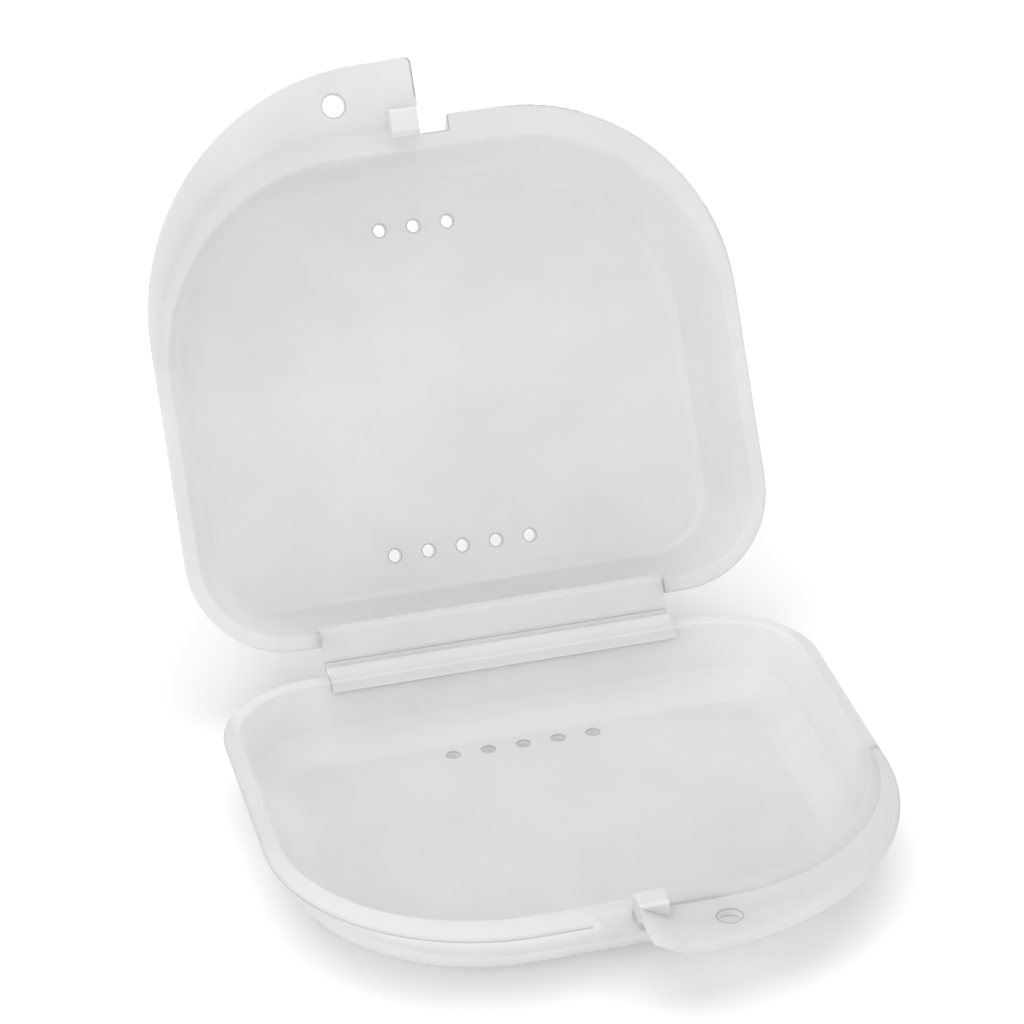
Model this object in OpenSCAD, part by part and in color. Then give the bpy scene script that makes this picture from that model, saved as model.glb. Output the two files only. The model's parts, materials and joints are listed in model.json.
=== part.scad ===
// Orthodontic retainer case: two dished halves moulded with a living hinge.
// Millimetres. The origin is the middle of the base under its rim, on the flat underside.
// +Z is up and the front, with the finger tabs, is towards -Y. The lid stands open.
// A half is drawn in its own frame: the fold line lies along X through the origin, the front is
// towards -Y, the rim lies just under Z = 0 and the dish hangs below. The lid is the same half
// with a deeper dish, turned half a turn about Y and then opened about X.

/* [Rim] */
// Width across the rim
rim_w = 80; // [74:0.5:90]
// Length of the rim from its back edge to its front edge
rim_l = 68.2; // [64:0.2:76]
// Corner radius of the rim at the back
rim_back_r = 13.4; // [11:0.2:15]
// Corner radius of the rim at the front
rim_front_r = 28.5; // [26:0.5:31]
// Width of the flat top of the rim along the sides and the back
side_flat = 1.9; // [1.7:0.05:2.4]
// Width of the flat top of the rim along the front
front_flat = 4.4; // [3.8:0.1:4.6]
// Corner radius of the mouth at the front
mouth_front_r = 26.8; // [24:0.2:29]
// Thickness of the lip round the edge of the rim
lip_t = 0.5; // [0.4:0.05:0.8]
// How far the lip stands out from the flare under it
lip_out = 0.25; // [0.15:0.05:0.4]
// Angle from upright of the flare that carries the rim
flare_angle = 41; // [40:1:45]

/* [Dishes] */
// Wall thickness of both dishes
wall_t = 1.4; // [1.2:0.05:1.6]
// Depth of the base inside
base_depth = 8.95; // [8.6:0.05:12]
// Slope of the base's wall from upright
base_draft = 20; // [16:1:22]
// Radius between the base's wall and floor, inside
base_fillet = 6; // [5.6:0.1:6.6]
// Depth of the lid inside
lid_depth = 15.05; // [12:0.05:18]
// Slope of the lid's wall from upright
lid_draft = 12.5; // [10:0.5:16]
// Radius between the lid's wall and floor, inside
lid_fillet = 1.3; // [1:0.1:3.5]

/* [Vents] */
// Diameter of a vent hole
vent_d = 1.75; // [1:0.05:2.5]
// Spacing of the vent holes
vent_pitch = 4.76; // [3.5:0.02:6]
// Number of vents in the back row
back_vents = 5; // [1:1:7]
// Number of vents in the front row
front_vents = 3; // [1:1:5]
// Distance of the back row from the fold line
back_vent_y = 12.95; // [12.5:0.05:18]
// Distance of the front row in from the rim's front edge
front_vent_in = 13.3; // [12.8:0.1:20]

/* [Finger tabs] */
// How far a tab stands out past the rim's front edge
tab_reach = 8.1; // [6.5:0.1:10]
// Radius of a tab's outer edge
tab_r = 33.75; // [32:0.25:36]
// Thickness of a tab
tab_t = 1.1; // [0.9:0.05:1.4]
// How far a tab's root reaches in under the rim's edge
tab_root = 1.2; // [1:0.05:1.5]
// Diameter of the hole in a tab
hole_d = 3.1; // [2:0.1:4]
// Distance of the hole from the middle of the case
hole_x = 10.9; // [8:0.1:16]
// Distance of the hole out past the rim's front edge
hole_out = 3; // [2.4:0.1:4]
// Rise of a tab's turned-up end
end_rise = 2.3; // [1:0.1:2.6]
// Length of a tab's turned-up end
end_run = 4.3; // [3.5:0.1:6]
// Inside radius of the bend at a tab's turned-up end
end_bend_r = 2; // [1:0.1:3]
// Corner radius of a tab's turned-up end, seen from above
end_corner_r = 1.2; // [0.8:0.1:2]

/* [Latch] */
// Width of the notch beside each tab
notch_w = 4; // [3:0.1:6]
// Depth of the notch in from the rim's front edge
notch_in = 2.2; // [1.8:0.1:2.5]
// Radius on the outer corner of the notch
notch_corner_r = 0.45; // [0.3:0.05:0.8]
// Thickness of the ledge that a hook's tooth goes under
ledge_t = 1.2; // [0.9:0.05:1.4]
// Length of a hook from its inner face to its outer face
hook_l = 3.4; // [2.5:0.1:4.5]
// Height of a hook above the rim
hook_h = 2.3; // [2:0.05:2.8]
// Radius along the top of a hook's outer face
hook_edge_r = 0.5; // [0.3:0.05:0.7]
// How far a hook's tooth reaches under the ledge
hook_bite = 0.25; // [0.1:0.05:0.35]
// Room between a hook and the notch that it goes through
hook_clear = 0.15; // [0.1:0.05:0.25]

/* [Hinge] */
// Width of the hinge
hinge_w = 47.2; // [36:0.2:50]
// Distance from the fold line to the rim's back edge
hinge_reach = 2.45; // [2.2:0.05:3.5]
// Thickness of a hinge leaf
leaf_t = 1.3; // [1:0.05:1.6]
// Length over which a leaf thins towards the fold
leaf_taper = 1.7; // [1.2:0.1:2]
// Slope of a leaf's inner edge from upright
leaf_lean = 30; // [24:1:36]
// Width of the slope on a leaf's top beside the fold
groove_w = 0.8; // [0.5:0.05:1.2]
// Depth of that slope at the fold
groove_in = 0.25; // [0.1:0.01:0.28]
// Radius of the film along the fold line
film_r = 0.4; // [0.3:0.02:0.5]
// Room between the film and the leaf that turns round it
film_clear = 0.05; // [0.03:0.01:0.08]

/* [Fit and pose] */
// Gap between each rim and the plane in which the halves meet
mate_gap = 0.05; // [0.03:0.01:0.15]
// Gap between each tab's end and the middle of the case
twin_gap = 0.1; // [0.05:0.05:0.3]
// Radius on the outer edge of the rim and of the tabs
edge_r = 0.35; // [0.2:0.05:0.4]
// Radius on the edge of the mouth
mouth_edge_r = 0.7; // [0.4:0.05:0.9]
// Angle of the open lid from shut
open_angle = 118.6; // [0:0.1:180]

/* [Hidden] */
$fn = 96;

base_colour = "#e9ebee";
lid_colour = "#e3e6ea";

// An outline is half its width, the distances of its back and front edges from the fold line,
// and its corner radii at the back and at the front.
rim_front = hinge_reach + rim_l;
rim = [rim_w / 2, hinge_reach, rim_front, rim_back_r, rim_front_r];
mouth = [
    rim_w / 2 - side_flat, hinge_reach + side_flat, rim_front - front_flat,
    rim_back_r - side_flat, mouth_front_r
];

// The fold line's place, which stands the base on its underside with its rim centred.
fold_y = hinge_reach + rim_l / 2;
fold_z = base_depth + wall_t;

// A cut runs on past the faces that it opens by this much.
past = 1;
// The centre of a rounded edge is this share of its radius from the faces that it meets, so that
// its arc crosses them and doesn't just touch them.
short_of_level = 0.95;
// The same share for the fillets between walls and floors.
fillet_share = 0.99;

notch_face = rim_front - notch_in;
tooth = hook_clear + hook_bite;
tooth_low = ledge_t + hook_clear;
tab_front = rim_front + tab_reach;
tab_centre = [rim_w / 2 - tab_r, -(tab_front - tab_r)];
hook_outer = notch_face + hook_clear + hook_l;
end_angle = atan(end_rise / end_run);
end_start = twin_gap + end_run + end_bend_r * tan(end_angle / 2);
end_w = tab_front - hook_outer;
vent_rows = [[back_vents, back_vent_y], [front_vents, rim_front - front_vent_in]];

function grown(o, d) = [o[0] + d, o[1] - d, o[2] + d, o[3] + d, o[4] + d];

// Where a dish's wall meets its fillet, and the fillet's centre, both from the outline at Z = 0.
function wall_foot_z(depth, draft, fillet) = -depth + fillet * (1 - sin(draft));
function fillet_x(depth, draft, fillet) =
    wall_foot_z(depth, draft, fillet) * tan(draft) - fillet * cos(draft);

// Depth at which the flare ends in the front wall: half way through it, or where the wall has
// curved round to the flare's own slope.
function flare_depth(depth, draft, fillet) = min(
    (front_flat - wall_t / 2 / cos(draft) - lip_out + lip_t * tan(flare_angle))
    / (tan(flare_angle) - tan(draft)),
    depth + wall_t - (fillet + wall_t) * (1 - sin(flare_angle))
);

// What is left outside a disc between two angles under 120 degrees apart, to round a corner with.
module round_off(r, from, to) {
    mid = (from + to) / 2;
    difference() {
        polygon([
            [0, 0],
            2 * r * [cos(from), sin(from)],
            2 * r * [cos(mid), sin(mid)],
            2 * r * [cos(to), sin(to)]
        ]);
        circle(r);
    }
}

// Sweeps a profile round an outline. The profile's X is outwards from the outline and its Y is up.
module edge_sweep(o) {
    back_x = o[0] - o[3];
    front_x = o[0] - o[4];
    side_start = o[1] + o[3];
    side_end = o[2] - o[4];
    for (side = [0, 1]) mirror([side, 0, 0]) {
        translate([back_x, -side_start, 0])
            rotate_extrude(angle = 90) translate([o[3], 0]) children();
        translate([front_x, -side_end, 0]) rotate([0, 0, -90])
            rotate_extrude(angle = 90) translate([o[4], 0]) children();
        translate([o[0], -side_start, 0]) rotate([90, 0, 0])
            linear_extrude(side_end - side_start) children();
    }
    translate([-back_x, -o[1], 0]) rotate([90, 0, 90]) linear_extrude(2 * back_x) children();
    translate([front_x, -o[2], 0]) rotate([90, 0, -90]) linear_extrude(2 * front_x) children();
}

// The whole area of an outline as a plate between two heights.
module slab(o, low, high) {
    back_x = o[0] - o[3];
    front_x = o[0] - o[4];
    side_start = -(o[1] + o[3]);
    side_end = -(o[2] - o[4]);
    for (side = [0, 1]) mirror([side, 0, 0]) {
        translate([back_x, side_start, low])
            rotate_extrude(angle = 90) square([o[3], high - low]);
        translate([front_x, side_end, low]) rotate([0, 0, -90])
            rotate_extrude(angle = 90) square([o[4], high - low]);
    }
    translate([0, 0, low]) linear_extrude(high - low) polygon([
        [o[0], side_start], [o[0], side_end], [front_x, side_end], [front_x, -o[2]],
        [-front_x, -o[2]], [-front_x, side_end], [-o[0], side_end], [-o[0], side_start],
        [-back_x, side_start], [-back_x, -o[1]], [back_x, -o[1]], [back_x, side_start]
    ]);
}

// A solid dish: a sloping wall under an outline, a fillet and a flat floor, up to a level top.
// The plate in the middle laps over the foot of the fillet's section, which is still level there.
module dish(o, depth, draft, fillet, top) {
    seat = fillet_share * fillet;
    centre = [fillet_x(depth, draft, seat), -depth + seat];
    lap = sqrt(pow(fillet, 2) - pow(seat, 2)) / 2;
    brink = top > 0 ? [[0, top], [0, 0]] : [[top * tan(draft), top]];
    edge_sweep(o) difference() {
        polygon(concat(
            [[centre[0], -depth], [centre[0], top]], brink, [[-depth * tan(draft), -depth]]
        ));
        translate(centre) round_off(fillet, -90, -draft);
    }
    slab(grown(o, centre[0] + lap), -depth, top);
}

// Section of the rim: a rounded lip with a flare under it, which runs back into the wall.
module rim_section(foot) {
    foot_x = -lip_out - (foot - lip_t) * tan(flare_angle);
    difference() {
        polygon([
            [foot_x - wall_t, -mate_gap], [0, -mate_gap], [0, -lip_t], [-lip_out, -lip_t],
            [foot_x, -foot], [foot_x - wall_t, -foot]
        ]);
        translate([-edge_r, -mate_gap - edge_r]) round_off(edge_r, 0, 90);
    }
}

// Section of the cut that rounds the edge of the mouth, where a wall leans out from upright.
module mouth_edge_section(lean) {
    reach = short_of_level * mouth_edge_r;
    drop = mate_gap + reach;
    translate([(reach - drop * sin(lean)) / cos(lean), -drop])
        round_off(mouth_edge_r, 90, 180 - lean);
}

// A tab's whole plan as a plate, from the middle of the case round to the rim's side.
module tab_plan(low, high) {
    translate([tab_centre[0], tab_centre[1], low]) rotate([0, 0, -90])
        rotate_extrude(angle = 90) square([tab_r - edge_r, high - low]);
    translate([twin_gap, -tab_front + edge_r, low])
        cube([tab_centre[0] - twin_gap, tab_r - edge_r, high - low]);
    translate([twin_gap, tab_centre[1], low])
        cube([rim[0] - edge_r - twin_gap, -rim[2] + rim[4] - tab_centre[1], high - low]);
}

// Section of a tab in from its rounded outer edge.
module tab_section(width) {
    difference() {
        translate([-width, -tab_t]) square([width, tab_t - mate_gap]);
        translate([-edge_r, -mate_gap - edge_r]) round_off(edge_r, 0, 90);
        translate([-edge_r, -tab_t + edge_r]) round_off(edge_r, -90, 0);
    }
}

// The space that a tab takes out of the rim.
module tab_seat() {
    difference() {
        translate([twin_gap, -rim_front - past, -tab_t])
            cube([rim[0] - twin_gap + past, rim[4] + past, tab_t + past]);
        slab(grown(rim, -tab_root), -tab_t - past, 2 * past);
    }
}

module tray(depth, draft, fillet) {
    difference() {
        union() {
            dish(grown(mouth, wall_t / cos(draft)), depth + wall_t, draft, fillet + wall_t, -mate_gap);
            edge_sweep(rim) rim_section(flare_depth(depth, draft, fillet));
        }
        dish(mouth, depth, draft, fillet, past);
        edge_sweep(mouth) mouth_edge_section(draft);
        tab_seat();
        // The notch, and the wider room under its ledge for the other half's tooth.
        translate([-twin_gap - notch_w, -rim_front - past, -depth])
            cube([notch_w + 2 * twin_gap, notch_in + past, depth + past]);
        translate([-twin_gap - notch_w, -rim_front - past, -depth])
            cube([notch_w + 2 * twin_gap, notch_in + past + tooth, depth - ledge_t]);
        translate([-twin_gap - notch_w - notch_corner_r, -rim_front + notch_corner_r, -depth])
            linear_extrude(depth + past) round_off(notch_corner_r, -90, 0);
        // The seat of the hinge leaf.
        translate([-hinge_w / 2, -mouth[1] - leaf_t, -leaf_t])
            cube([hinge_w, mouth[1] + leaf_t + past, leaf_t + past]);
        for (row = vent_rows) for (i = [0 : row[0] - 1])
            translate([(i - (row[0] - 1) / 2) * vent_pitch, -row[1], -depth - wall_t - past])
                cylinder(d = vent_d, h = wall_t + 2 * past);
    }
}

// The turned-up end of a tab: a bend and a straight ramp, with a rounded corner.
module tab_end() {
    axis_z = end_bend_r - mate_gap;
    top = end_rise + past;
    translate([end_start, -tab_front, axis_z]) rotate([90, 90, 0]) rotate([0, 0, -end_angle])
        rotate_extrude(angle = end_angle) translate([axis_z, 0]) rotate(90) tab_section(end_w);
    difference() {
        translate([end_start, -tab_front, axis_z]) rotate([0, end_angle, 0])
            translate([0, 0, -axis_z]) rotate([90, 0, -90])
                linear_extrude(end_run + past) tab_section(end_w);
        translate([twin_gap - 2 * past, -tab_front - past, -tab_t])
            cube([2 * past, end_w + 2 * past, tab_t + 2 * top]);
        difference() {
            translate([twin_gap - past, -tab_front - past, -tab_t])
                cube([past + end_corner_r, past + end_corner_r, tab_t + top]);
            translate([twin_gap + short_of_level * end_corner_r,
                -tab_front + short_of_level * end_corner_r, -tab_t - past])
                cylinder(r = end_corner_r, h = tab_t + top + 2 * past);
        }
    }
}

module finger_tab() {
    difference() {
        union() {
            tab_plan(-tab_t, -mate_gap);
            translate([tab_centre[0], tab_centre[1], 0]) rotate([0, 0, -90])
                rotate_extrude(angle = 90) translate([tab_r, 0]) tab_section(edge_r);
            translate([tab_centre[0], -tab_front, 0]) rotate([90, 0, -90])
                linear_extrude(tab_centre[0] - twin_gap) tab_section(edge_r);
            translate([rim[0], -rim[2] + rim[4], 0]) rotate([90, 0, 0])
                linear_extrude(-rim[2] + rim[4] - tab_centre[1]) tab_section(edge_r);
        }
        slab(grown(rim, -tab_root), -tab_t - past, past);
        translate([hole_x, -rim_front - hole_out, -tab_t - past])
            cylinder(d = hole_d, h = tab_t + 2 * past);
        translate([twin_gap - past, -tab_front - past, -tab_t - past])
            cube([end_start - twin_gap + past, end_w + past, tab_t + 2 * past]);
    }
    tab_end();
}

// A block with a tooth on its inner face and a slope that leads it into the notch.
module latch_hook() {
    inner = -notch_face - hook_clear;
    lead = hook_h - (hook_h - tooth_low) / 3 - tooth_low;
    translate([twin_gap + hook_clear, 0, 0]) rotate([90, 0, 90])
        linear_extrude(notch_w - 2 * hook_clear) difference() {
            polygon([
                [inner, -mate_gap], [inner, tooth_low], [inner + tooth, tooth_low],
                [inner + tooth, hook_h - lead], [inner + tooth - lead, hook_h],
                [-hook_outer, hook_h], [-hook_outer, -mate_gap]
            ]);
            translate([-hook_outer + hook_edge_r, hook_h - hook_edge_r])
                round_off(hook_edge_r, 90, 180);
        }
}

// A strip along the back of the rim that thins towards the fold and wraps a round film there.
// Its inner edge hangs a little past the wall under it.
module hinge_leaf(wrap_r) {
    translate([-hinge_w / 2, 0, 0]) rotate([90, 0, 90]) linear_extrude(hinge_w) difference() {
        polygon([
            [0, -groove_in], [-groove_w, -mate_gap], [-mouth[1] - mate_gap * tan(leaf_lean), -mate_gap],
            [-mouth[1] - leaf_t * tan(leaf_lean), -leaf_t], [-leaf_taper, -leaf_t], [0, -film_r]
        ]);
        circle(wrap_r);
        translate([-mouth[1], 0]) mouth_edge_section(leaf_lean);
    }
}

module film() {
    translate([-hinge_w / 2, 0, 0]) rotate([0, 90, 0]) cylinder(r = film_r, h = hinge_w);
}

module place_base() {
    translate([0, fold_y, fold_z]) children();
}

module place_lid() {
    translate([0, fold_y, fold_z]) rotate([-open_angle, 0, 0]) rotate([0, 180, 0]) children();
}

module base_tray() {
    color(base_colour) place_base() tray(base_depth, base_draft, base_fillet);
}

module base_finger_tab() {
    color(base_colour) place_base() finger_tab();
}

module base_latch_hook() {
    color(base_colour) place_base() latch_hook();
}

module base_hinge_leaf() {
    color(base_colour) place_base() hinge_leaf(film_r);
}

module hinge_film() {
    color(base_colour) place_base() film();
}

module lid_tray() {
    color(lid_colour) place_lid() tray(lid_depth, lid_draft, lid_fillet);
}

module lid_finger_tab() {
    color(lid_colour) place_lid() finger_tab();
}

module lid_latch_hook() {
    color(lid_colour) place_lid() latch_hook();
}

module lid_hinge_leaf() {
    color(lid_colour) place_lid() hinge_leaf(film_r + film_clear);
}

base_tray();
base_finger_tab();
base_latch_hook();
base_hinge_leaf();
hinge_film();
lid_tray();
lid_finger_tab();
lid_latch_hook();
lid_hinge_leaf();
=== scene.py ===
# %% [markdown]
# # A retainer case in natural polypropylene
#
# The case is one thin moulding: two dished trays, a strip of film that folds between them, and two
# crescent finger tabs with hooks that snap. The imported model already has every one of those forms
# at its real size, so this lesson is about what a model from a drawing lacks: a milky plastic, the
# film that really bends, and the light of a white studio.

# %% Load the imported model
import json
import math

import bpy
from mathutils import Matrix, Vector


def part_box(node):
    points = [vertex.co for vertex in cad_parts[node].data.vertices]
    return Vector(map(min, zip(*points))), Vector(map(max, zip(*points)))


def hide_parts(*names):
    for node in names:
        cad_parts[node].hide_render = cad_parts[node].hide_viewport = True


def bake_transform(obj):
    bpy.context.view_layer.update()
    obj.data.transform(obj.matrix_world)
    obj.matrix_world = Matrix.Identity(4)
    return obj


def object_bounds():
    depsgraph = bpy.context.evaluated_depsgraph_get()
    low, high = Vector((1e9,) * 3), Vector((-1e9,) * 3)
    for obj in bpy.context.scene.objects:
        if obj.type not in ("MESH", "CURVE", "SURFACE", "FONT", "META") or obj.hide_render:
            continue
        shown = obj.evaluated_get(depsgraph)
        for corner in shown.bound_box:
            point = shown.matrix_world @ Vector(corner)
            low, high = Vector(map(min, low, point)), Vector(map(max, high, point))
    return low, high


MM = 0.001
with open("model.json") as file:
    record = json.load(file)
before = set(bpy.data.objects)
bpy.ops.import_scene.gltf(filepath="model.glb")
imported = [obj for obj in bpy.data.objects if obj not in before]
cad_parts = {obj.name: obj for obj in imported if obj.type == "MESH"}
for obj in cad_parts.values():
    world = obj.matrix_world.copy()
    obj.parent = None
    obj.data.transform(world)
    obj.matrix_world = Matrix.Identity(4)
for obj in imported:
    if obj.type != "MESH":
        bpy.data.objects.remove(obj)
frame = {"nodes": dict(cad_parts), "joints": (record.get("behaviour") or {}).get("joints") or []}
nodes = frame["nodes"]
cad_low, cad_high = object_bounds()
hinge = frame["joints"][0]
fold = Vector(hinge["pos_m"])
opened = -hinge["range_deg"][0]
print("nodes:", sorted(nodes))
print("the lid stands open by", opened, "degrees")

# %% [markdown]
# ## Small helpers
#
# Colours are picked as sRGB hex values, as a designer reads them off a swatch, and Blender wants
# linear light, so one function converts them. Another adds a shader node, sets it and links it,
# which keeps each material to a short readable list.

# %% Helpers for colour, nodes and selection
def colour(hex_value):
    channels = [int(hex_value[i:i + 2], 16) / 255 for i in (1, 3, 5)]
    linear = [c / 12.92 if c <= 0.04045 else ((c + 0.055) / 1.055) ** 2.4 for c in channels]
    return (*linear, 1.0)


def add(tree, kind, settings=None, links=None, **values):
    node = tree.nodes.new(kind)
    for name, value in (settings or {}).items():
        setattr(node, name, value)
    for socket, value in values.items():
        node.inputs[socket.replace("_", " ")].default_value = value
    for socket, source in (links or {}).items():
        tree.links.new(source, node.inputs[socket])
    return node


def only(piece):
    bpy.ops.object.select_all(action="DESELECT")
    piece.select_set(True)
    bpy.context.view_layer.objects.active = piece


# %% [markdown]
# ## Moulded natural polypropylene
#
# Polypropylene with no pigment is milky: light enters a wall 1.4 mm thick, scatters, and partly
# comes out on the other side, which also fills the shadows in the corners. Subsurface scattering is
# one way to show that, but it darkens the seams between solids that touch. Here a satin skin is mixed
# with a translucent shader, which lets light through both faces of a wall. A thin wall lets most of it
# through, and the thick blocks of the hooks and hinge leaves throw more of it back, so they get a
# mix of their own. On the base the mix also changes outwards, past the round front corners, as
# painted light. Its floor lies on the paper, where little light comes from below, so it is made to
# throw more back than its rim does, which paints light onto it. Its tab throws more back at the
# root, painted light over the dark line that the touching faces of the joint would show and that
# the real moulding doesn't have. Cloudy patches come from how the melt cooled, and handling has
# left hairlines that only change the gloss.
#
# A sharp edge of such plastic bends the light away and reads as a thin grey line, round each vent and
# along the rims, and here that line is painted shade: a grey mixed into the colour. Ambient occlusion
# that looks inwards finds those edges: just under an edge there is little plastic, and in the middle
# of a wall there is enough. It also finds the joint between a tray and its tab, which the real
# moulding doesn't have, so the painted lines are kept to round zones that leave the joint out. A zone
# is a middle, a radius, and whether the lines are inside or outside it.

# %% Painted shade lines on sharp edges
edge_depth = 0.3 * MM
zone_blur = 0.2 * MM


def painted_edge_shade_lines(tree, place, zones):
    depth = add(tree, "ShaderNodeAmbientOcclusion", {"inside": True, "only_local": True, "samples": 6},
                Distance=edge_depth)
    line = add(tree, "ShaderNodeMapRange", {}, {"Value": depth.outputs["AO"]},
               From_Min=0.5, From_Max=0.95, To_Min=1.0, To_Max=0.0)
    shown = None
    for middle, radius, inside in zones:
        reach = add(tree, "ShaderNodeVectorMath", {"operation": "DISTANCE"}, {0: place})
        reach.inputs[1].default_value = middle
        in_middle, far_off = (1.0, 0.0) if inside else (0.0, 1.0)
        zone = add(tree, "ShaderNodeMapRange", {}, {"Value": reach.outputs["Value"]},
                   From_Min=radius - zone_blur, From_Max=radius + zone_blur,
                   To_Min=in_middle, To_Max=far_off).outputs["Result"]
        if shown is not None:
            zone = add(tree, "ShaderNodeMath", {"operation": "MAXIMUM"},
                       {0: shown, 1: zone}).outputs["Value"]
        shown = zone
    return add(tree, "ShaderNodeMath", {"operation": "MULTIPLY"},
               {0: line.outputs["Result"], 1: shown}).outputs["Value"]


# %% [markdown]
# The next measure tells how far a spot on the base lies from the middle of a round front corner.
# Folding the spot's place with an absolute value makes the left half like the right one. Taking the
# corner's middle away and keeping only what is left above zero then makes the straight sides and the
# front edge count like the round. The depth isn't wanted, so more than any depth is taken from it.

# %% How far a spot on the base is past the middle of the round front corners
more_than_deep = 1.0


def corner_reach(tree, place, across, out):
    spot = add(tree, "ShaderNodeVectorMath", {"operation": "SUBTRACT"}, {0: place})
    spot.inputs[1].default_value = fold
    spot = add(tree, "ShaderNodeVectorMath", {"operation": "ABSOLUTE"}, {0: spot.outputs["Vector"]})
    past = add(tree, "ShaderNodeVectorMath", {"operation": "SUBTRACT"}, {0: spot.outputs["Vector"]})
    past.inputs[1].default_value = (across * MM, out * MM, more_than_deep)
    past = add(tree, "ShaderNodeVectorMath", {"operation": "MAXIMUM"}, {0: past.outputs["Vector"]})
    past.inputs[1].default_value = (0, 0, 0)
    return add(tree, "ShaderNodeVectorMath", {"operation": "LENGTH"},
               {0: past.outputs["Vector"]}).outputs["Value"]


# %% The plastic
# A grey mixed into the colour along sharp edges, as painted shade.
painted_edge_shade_grey = "#B4B4B7"
cloud_size = 14 * MM
hair_size = 0.6 * MM
grit_size = 0.45 * MM
grit_depth = 0.02 * MM
polypropylene_ior = 1.49


def polypropylene(name, tint, haze_tint, through, zones=(), corner=None):
    material = bpy.data.materials.new(name)
    material.use_nodes = True
    tree = material.node_tree
    tree.nodes.clear()
    place = add(tree, "ShaderNodeTexCoord").outputs["Object"]
    cloud = add(tree, "ShaderNodeTexNoise", {}, {"Vector": place},
                Scale=1 / cloud_size, Detail=3.0, Roughness=0.55)
    tone = add(tree, "ShaderNodeMix", {"data_type": "RGBA"}, {"Factor": cloud.outputs["Fac"]})
    tone.inputs["A"].default_value = colour(tint)
    tone.inputs["B"].default_value = colour(haze_tint)
    if zones:
        plain = tone.outputs["Result"]
        # Along sharp edges a grey is mixed in: painted shade for the line that bent light makes.
        tone = add(tree, "ShaderNodeMix", {"data_type": "RGBA"},
                   {"Factor": painted_edge_shade_lines(tree, place, zones), "A": plain})
        tone.inputs["B"].default_value = colour(painted_edge_shade_grey)
    # Hairlines under a millimetre wide, which run a long way in one direction.
    along = add(tree, "ShaderNodeMapping", {}, {"Vector": place}, Scale=(1.0, 0.07, 0.25),
                Rotation=(0.3, 0.2, 0.6))
    hairs = add(tree, "ShaderNodeTexNoise", {}, {"Vector": along.outputs["Vector"]},
                Scale=1 / hair_size, Detail=1.0)
    rubbed = add(tree, "ShaderNodeMapRange", {}, {"Value": hairs.outputs["Fac"]},
                 From_Min=0.66, From_Max=0.74, To_Min=0.0, To_Max=0.1)
    gloss = add(tree, "ShaderNodeMapRange", {}, {"Value": cloud.outputs["Fac"]},
                From_Min=0.3, From_Max=0.7, To_Min=0.3, To_Max=0.4)
    rough = add(tree, "ShaderNodeMath", {"operation": "ADD"},
                {0: gloss.outputs["Result"], 1: rubbed.outputs["Result"]})
    # The mould's fine grain, which mostly breaks up the gloss.
    grit = add(tree, "ShaderNodeTexNoise", {}, {"Vector": place}, Scale=1 / grit_size, Detail=2.0)
    bump = add(tree, "ShaderNodeBump", {}, {"Height": grit.outputs["Fac"]},
               Strength=0.12, Distance=grit_depth)
    skin = add(tree, "ShaderNodeBsdfPrincipled", {},
               {"Base Color": tone.outputs["Result"], "Roughness": rough.outputs["Value"],
                "Normal": bump.outputs["Normal"]}, IOR=polypropylene_ior)
    glow = add(tree, "ShaderNodeBsdfTranslucent", {}, {"Color": tone.outputs["Result"]})
    milky = add(tree, "ShaderNodeMixShader", {}, {1: skin.outputs["BSDF"], 2: glow.outputs["BSDF"]},
                Fac=through)
    # Past a corner the share that comes through changes: painted light on the base's floor and tab
    # root.
    if corner:
        across, out, start, end, through_past = corner
        share = add(tree, "ShaderNodeMapRange", {}, {"Value": corner_reach(tree, place, across, out)},
                    From_Min=start * MM, From_Max=end * MM, To_Min=through, To_Max=through_past)
        tree.links.new(share.outputs["Result"], milky.inputs["Fac"])
    add(tree, "ShaderNodeOutputMaterial", {}, {"Surface": milky.outputs["Shader"]})
    return material


# %% [markdown]
# ## Which plastic goes where
#
# A place on either half is given by three measures in millimetres: across the case, out from the fold,
# and deep into the bowl. The lid is the base's twin turned over, so across runs the other way on it.
# On a tray the painted shade lines are on its floor, for the vents, and on the half of its rim that
# has no tab. On a tab they are round its hole. The lid stands up against the bright paper, so its
# notch, its tab's outer edge and its tab's turned-up end get painted shade lines too. The outer edge
# is what lies outside a circle inside the tab. On the base those edges lie against more plastic and
# stay soft.

# %% Places on the two halves
swing = math.radians(opened)


def on_base(across, out, deep):
    return fold + Vector((across, -out, -deep)) * MM


def on_lid(across, out, deep):
    far = deep * math.sin(swing) - out * math.cos(swing)
    high = deep * math.cos(swing) + out * math.sin(swing)
    return fold + Vector((-across, far, high)) * MM


tab_hole = (10.9, 73.65)
print("the base's tab hole is at", on_base(*tab_hole, 0), "and the lid's at", on_lid(*tab_hole, 0))

# %% Zones for the painted shade lines
bowl_middle = 36.5
vents_radius = 28 * MM
base_floor_deep, lid_floor_deep = 9, 15
# A circle as large as this is nearly straight, and so keeps to one side of the case.
half_plane = 1000
base_notch_margin = 4.6
tab_hole_zone = 2.3 * MM
tab_inner_circle = (8.5, 44)
tab_inner_radius = 32.6 * MM
tab_end = (0.5, 76.5)
tab_end_zone = 4 * MM


def tray_zones(at, floor_deep, margin):
    return [(at(0, bowl_middle, floor_deep), vents_radius, True),
            (at(-half_plane - margin, bowl_middle, 0), half_plane * MM, True)]


base_tray_zones = tray_zones(on_base, base_floor_deep, base_notch_margin)
lid_tray_zones = tray_zones(on_lid, lid_floor_deep, 0)
base_tab_zones = [(on_base(*tab_hole, 0), tab_hole_zone, True)]
lid_tab_zones = [(on_lid(*tab_hole, 0), tab_hole_zone, True),
                 (on_lid(*tab_inner_circle, 0), tab_inner_radius, False),
                 (on_lid(*tab_end, 0), tab_end_zone, True)]
all_zones = base_tray_zones + lid_tray_zones + base_tab_zones + lid_tab_zones
print("zones on the trays and tabs:", len(all_zones))
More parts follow.
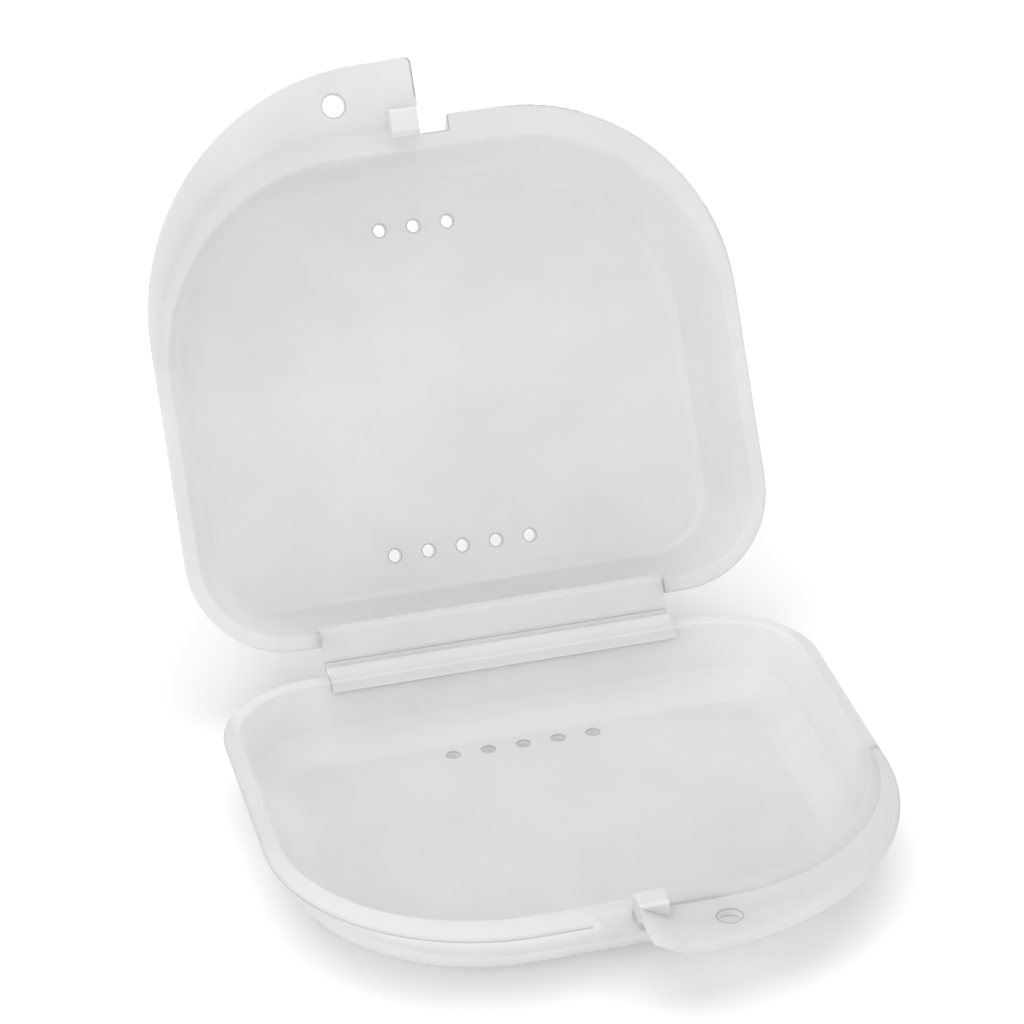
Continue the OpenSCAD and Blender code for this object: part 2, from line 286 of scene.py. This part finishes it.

# %% [markdown]
# Each piece then gets its own mix: a tint, a hazier tint for the clouds, and the share of light that
# comes through. A corner is given by the middle of its round, across and out, then the two radii
# between which the mix changes, and the share that comes through beyond them, all in millimetres
# but the share. The tray's corner is its mouth's, and the tab's is the arc where it joins the rim, and
# the change of mix at both is painted light. The base's tab is a shade greyer than the rest, which is
# painted shade for the shadowed paper under it, to match the photograph.

# %% Plastic on every node
thin, thin_haze = "#F6F6F6", "#EBEBEC"
# The base's tab gets a greyer tint: painted shade for the shadowed paper under it.
base_tab_shaded_tint, base_tab_shaded_haze = "#F2F2F2", "#E8E8E9"
hook_tint, hook_haze = "#F5F5F5", "#ECECED"
leaf_tint, leaf_haze = "#F1F1F1", "#E9E9EA"
mouth_corner_painted_light = (11.2, 39.45, 26, 27.2, 0.8)
tab_root_painted_light = (11.5, 42.15, 27.3, 30.3, 0.8)
base_plastic = "moulded_natural_polypropylene_base"
lid_plastic = "moulded_natural_polypropylene_lid"
plastics = {
    "base_tray": polypropylene(f"{base_plastic}_tray", thin, thin_haze, 0.5,
                               base_tray_zones, mouth_corner_painted_light),
    "base_finger_tab": polypropylene(f"{base_plastic}_tab", base_tab_shaded_tint, base_tab_shaded_haze, 0.42,
                                     base_tab_zones, tab_root_painted_light),
    "base_latch_hook": polypropylene(f"{base_plastic}_hook", hook_tint, hook_haze, 0.3),
    "base_hinge_leaf": polypropylene(f"{base_plastic}_leaf", leaf_tint, leaf_haze, 0.35),
    "lid_tray": polypropylene(f"{lid_plastic}_tray", thin, thin_haze, 0.68, lid_tray_zones),
    "lid_finger_tab": polypropylene(f"{lid_plastic}_tab", thin, thin_haze, 0.68, lid_tab_zones),
    "lid_latch_hook": polypropylene(f"{lid_plastic}_hook", hook_tint, hook_haze, 0.42),
    "lid_hinge_leaf": polypropylene(f"{lid_plastic}_leaf", leaf_tint, leaf_haze, 0.5),
}
for name, plastic in plastics.items():
    node = nodes[name]
    node.data.materials.clear()
    node.data.materials.append(plastic)
    print(node.name, "is", plastic.name)

# %% [markdown]
# ## The folding film
#
# A living hinge is a strip about a third of a millimetre thick, moulded between two thicker leaves.
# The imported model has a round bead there, because a rigid model can't fold. The film is made as a
# sheet metal worker would: a flat strip from the base's leaf, turned round the fold line by what
# the lid lacks of lying flat open, then run on to the lid's leaf and given its thickness.

# %% The film's sizes
film_t = 0.3 * MM
film_under_fold = 0.2 * MM
film_middle = film_under_fold + film_t / 2
film_low, film_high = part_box("hinge_film")
film_w = film_high.x - film_low.x
run = 0.6 * MM
turn = math.radians(180 - opened)
print("the film is", film_w / MM, "mm wide and turns by", math.degrees(turn), "degrees")

# %% The strip on the base's side
bpy.ops.object.select_all(action="DESELECT")
bpy.ops.mesh.primitive_plane_add(size=1, location=(0, 0, 0))
film = bpy.context.object
film.name = "film_web"
film.scale = (film_w, run, 1)
film.location = (0, fold.y - run / 2, fold.z - film_middle)
bpy.ops.object.transform_apply(location=True, rotation=True, scale=True)
# The film's tint is greyer than the trays': partly its thinner web, which scatters less, and partly
# painted shade for the dark groove of the fold.
film.data.materials.append(
    polypropylene("folded_natural_polypropylene_film", "#EEEEEE", "#E6E6E7", 0.5))
bpy.ops.object.mode_set(mode="EDIT")
bpy.ops.mesh.select_mode(type="EDGE")
bpy.ops.mesh.select_all(action="DESELECT")
bpy.ops.object.mode_set(mode="OBJECT")
for edge in film.data.edges:
    ends = [film.data.vertices[i].co for i in edge.vertices]
    edge.select = all(abs(p.y - fold.y) < 0.01 * MM for p in ends)
bpy.ops.object.mode_set(mode="EDIT")

# %% The turn round the fold and the strip on the lid's side
bpy.ops.mesh.spin(steps=10, angle=turn, center=fold, axis=(1, 0, 0))
lid_way = Vector((0, -math.cos(swing), math.sin(swing)))
bpy.ops.mesh.extrude_edges_move(TRANSFORM_OT_translate={"value": lid_way * run})
bpy.ops.mesh.select_all(action="SELECT")
bpy.ops.mesh.remove_doubles(threshold=0.001 * MM)
bpy.ops.mesh.normals_make_consistent(inside=False)
bpy.ops.object.mode_set(mode="OBJECT")
thick = film.modifiers.new("thickness", "SOLIDIFY")
thick.thickness = film_t
thick.offset = 0
only(film)
bpy.ops.object.modifier_apply(modifier="thickness")
bpy.ops.object.shade_smooth_by_angle(angle=math.radians(40))
film_points = [v.co for v in film.data.vertices]
print("film runs from", min(p.y for p in film_points), "to", max(p.y for p in film_points))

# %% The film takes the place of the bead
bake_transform(film)
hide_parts("hinge_film")

# %% [markdown]
# ## A pale floor
#
# The case stands on seamless white paper. Paper is matt and nearly white, so it throws light back up
# into the translucent walls.

# %% The floor
paper = bpy.data.materials.new("matt_white_paper")
paper.use_nodes = True
sheet = paper.node_tree.nodes["Principled BSDF"]
sheet.inputs["Base Color"].default_value = colour("#FCFCFC")
sheet.inputs["Roughness"].default_value = 0.9
sheet.inputs["Specular IOR Level"].default_value = 0.1
bpy.ops.object.select_all(action="DESELECT")
bpy.ops.mesh.primitive_plane_add(size=6, location=(0, 0, cad_low.z - 0.01 * MM))
floor = bpy.context.object
floor.name = "paper_floor"
floor.data.materials.append(paper)
print("the paper lies at a height of", floor.location.z / MM, "mm")

# %% [markdown]
# ## Studio light
#
# Both halves are about equally bright inside, and their walls glow rather than fall into shade. So the
# main light is a large soft box overhead, which also shines down through the lid, and a lower one in
# front reaches the walls that face down and the paper that the case shades. The right walls are a
# little brighter than the left ones, so a window-like box stands on the left, and only a faint one on
# the right. The room is pale but dim: in a bright one, a pale object on white paper loses its edges.

# %% Lights
def soft_box(name, at, towards, width, height, watts):
    lamp = bpy.data.lights.new(name, "AREA")
    lamp.shape = "RECTANGLE"
    lamp.size, lamp.size_y = width, height
    lamp.energy = watts
    holder = bpy.data.objects.new(name, lamp)
    bpy.context.scene.collection.objects.link(holder)
    holder.location = at
    holder.rotation_euler = (Vector(towards) - Vector(at)).to_track_quat("-Z", "Y").to_euler()
    print(name, "gives", watts, "W from", tuple(at))


case_front = (0, 0.02, 0.03)
soft_box("overhead", (0, 0.1, 1.2), (0, 0.05, 0), 1.6, 1.6, 13.4)
soft_box("front", (-0.2, -0.98, 0.4), case_front, 0.9, 0.6, 3.4)
soft_box("window_left", (-0.9, -0.3, 0.35), case_front, 0.5, 0.6, 2.3)
soft_box("window_right", (0.9, -0.3, 0.5), case_front, 0.5, 0.6, 0.7)

# %% The room
world = bpy.data.worlds.new("white_room")
world.use_nodes = True
sky = world.node_tree.nodes["Background"]
sky.inputs["Color"].default_value = colour("#FFFFFF")
sky.inputs["Strength"].default_value = 0.41
bpy.context.scene.world = world
bpy.context.scene.view_settings.view_transform = "Standard"

# %% [markdown]
# ## The camera
#
# Points of the rims, the tabs and the vents were matched with the photograph, which gives the
# camera's place, its three axes and its field of view.

# %% The camera
eye = bpy.data.cameras.new("photo_camera")
eye.sensor_width = 36.0
eye.lens = 151.86
eye.clip_start = 0.01
holder = bpy.data.objects.new("photo_camera", eye)
bpy.context.scene.collection.objects.link(holder)
right = Vector((0.97036, -0.23749, -0.04467)).normalized()
back = -Vector((0.18925, 0.86178, -0.47065)).normalized()
up = back.cross(right)
turned = Matrix((right, up, back)).transposed().to_4x4()
stands_at = Vector((-0.10507, -0.45511, 0.29759))
holder.matrix_world = Matrix.Translation(stands_at) @ turned
bpy.context.scene.camera = holder
print("the camera stands", (stands_at - fold).length, "m from the fold")
